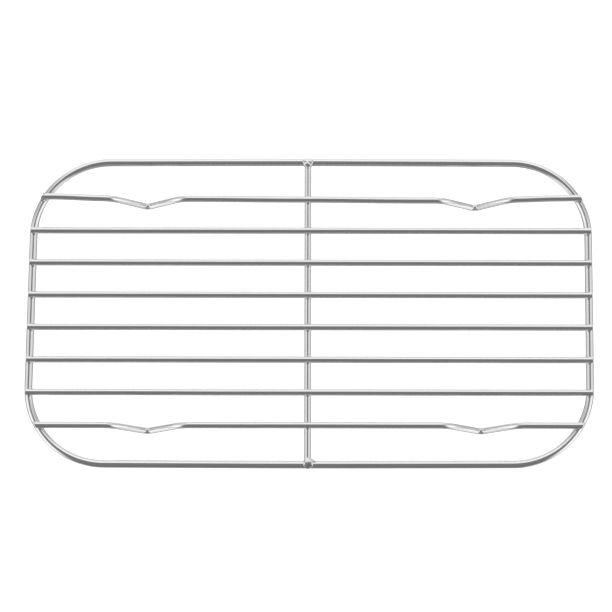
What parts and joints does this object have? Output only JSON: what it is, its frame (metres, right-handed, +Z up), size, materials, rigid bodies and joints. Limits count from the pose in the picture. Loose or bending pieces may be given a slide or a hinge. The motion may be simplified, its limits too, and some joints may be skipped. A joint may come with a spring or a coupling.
{
  "type": "cooling rack",
  "caption": "Footed cooling rack in welded round stainless wire: rounded frame, lengthwise grid wires on a centre crossbar, and V-shaped feet bent into the outer wires.",
  "frame": {"origin": "on the surface the rack stands on, under the middle of the frame", "axes": "+X along the grid wires, towards the right; +Y towards the back; +Z up"},
  "size_m": [0.457, 0.2573, 0.0291],
  "materials": {
    "stainless_wire": "bright polished round wire with faint drawing lines",
    "weld_metal": "bright electropolished weld metal, slightly rippled"
  },
  "bodies": {
    "root": {"frame_wire": "stainless_wire", "centre_crossbar": "stainless_wire", "front_leg_wire": "stainless_wire", "grid_wire_1": "stainless_wire", "grid_wire_2": "stainless_wire", "grid_wire_3": "stainless_wire", "grid_wire_4": "stainless_wire", "grid_wire_5": "stainless_wire", "grid_wire_6": "stainless_wire", "back_leg_wire": "stainless_wire", "frame_butt_weld": "weld_metal", "front_tee_weld": "weld_metal", "back_tee_weld": "weld_metal", "left_grid_welds": "weld_metal", "centre_grid_welds": "weld_metal", "right_grid_welds": "weld_metal"}
  },
  "joints": []
}
